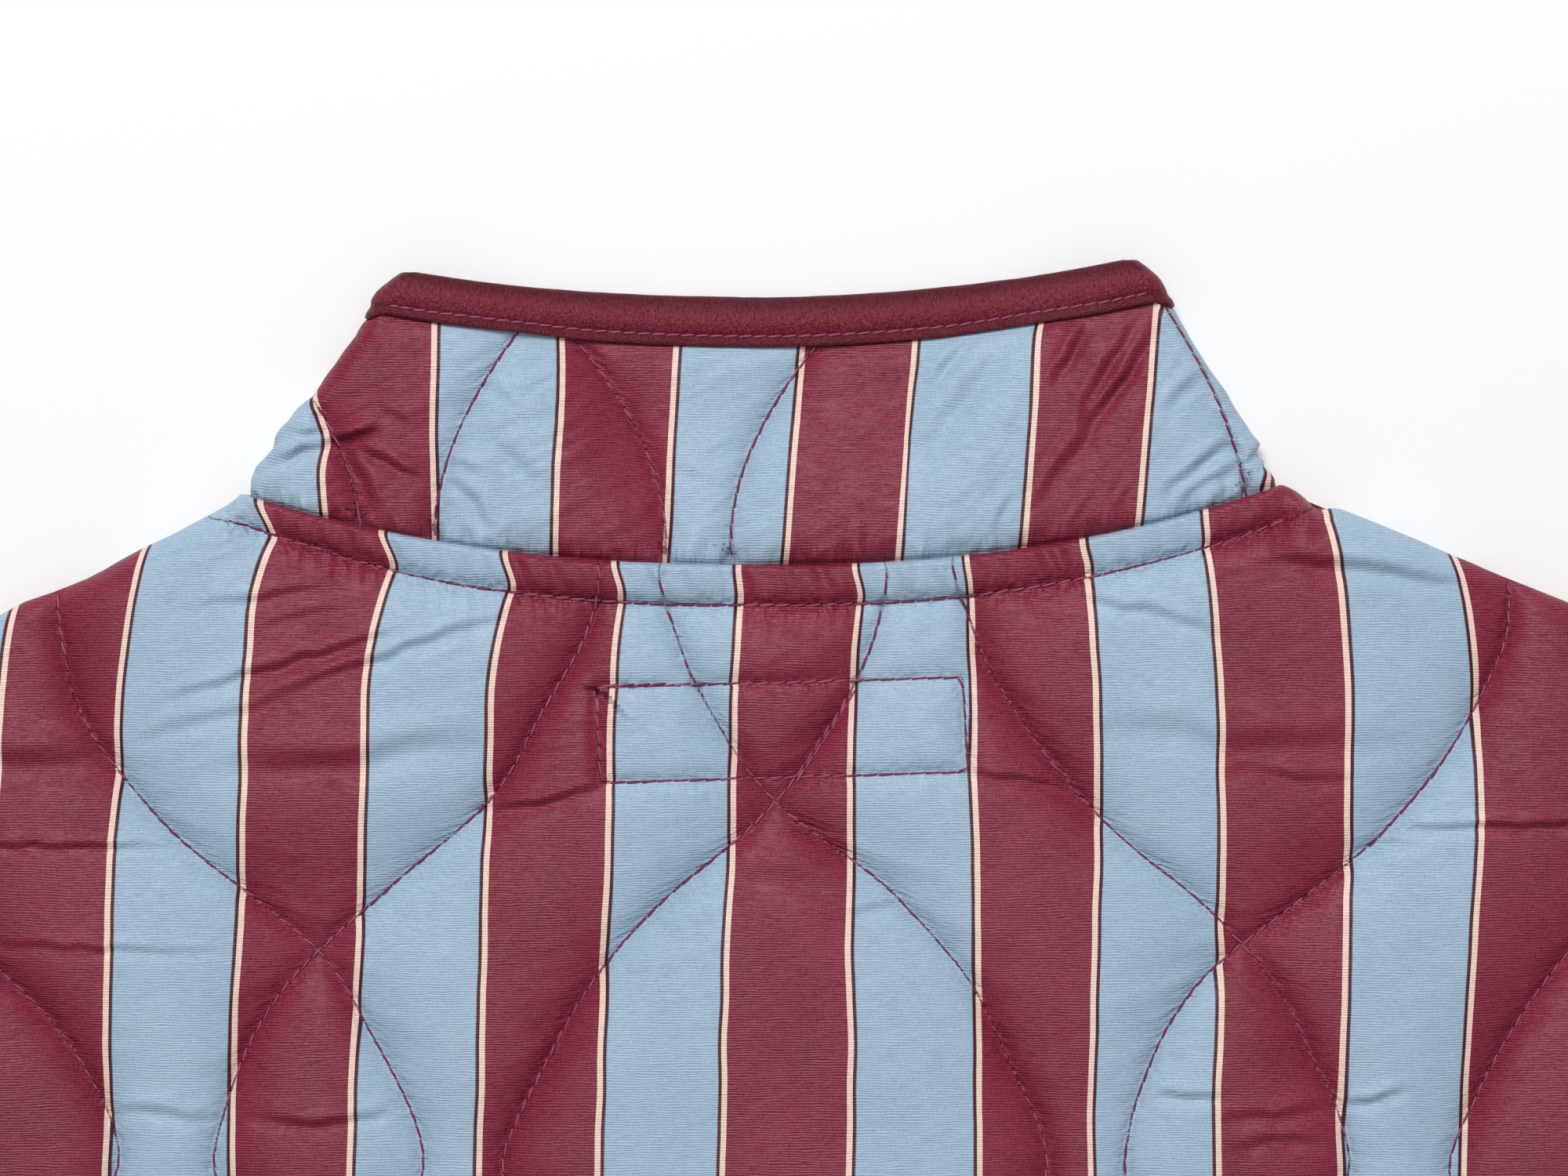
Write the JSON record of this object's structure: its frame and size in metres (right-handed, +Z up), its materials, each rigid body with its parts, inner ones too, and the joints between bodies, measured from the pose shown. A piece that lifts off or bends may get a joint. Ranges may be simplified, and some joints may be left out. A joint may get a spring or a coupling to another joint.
{
  "type": "quilted jacket",
  "caption": "Striped onion-quilted jacket with a bound stand collar, laid flat on its front with its back upwards.",
  "frame": {"origin": "middle of the jacket's base, on the surface that it lies on", "axes": "+X across the jacket to the side of the sleeve on the right as seen from above with the collar upwards, +Y from the hem to the collar, +Z up"},
  "size_m": [1.5194, 0.7424, 0.0096],
  "materials": {
    "striped_cloth": "quilted polyester satin, burgundy and light blue stripes with cream lines",
    "satin_tape": "dark burgundy satin binding"
  },
  "bodies": {
    "root": {"back": "striped_cloth", "front_left": "striped_cloth", "front_right": "striped_cloth", "sleeve_left": "striped_cloth", "sleeve_right": "striped_cloth", "collar": "striped_cloth", "collar_binding": "satin_tape", "hem_binding": "satin_tape", "cuff_binding_left": "satin_tape", "cuff_binding_right": "satin_tape", "front_binding_left": "satin_tape", "front_binding_right": "satin_tape"}
  },
  "joints": []
}
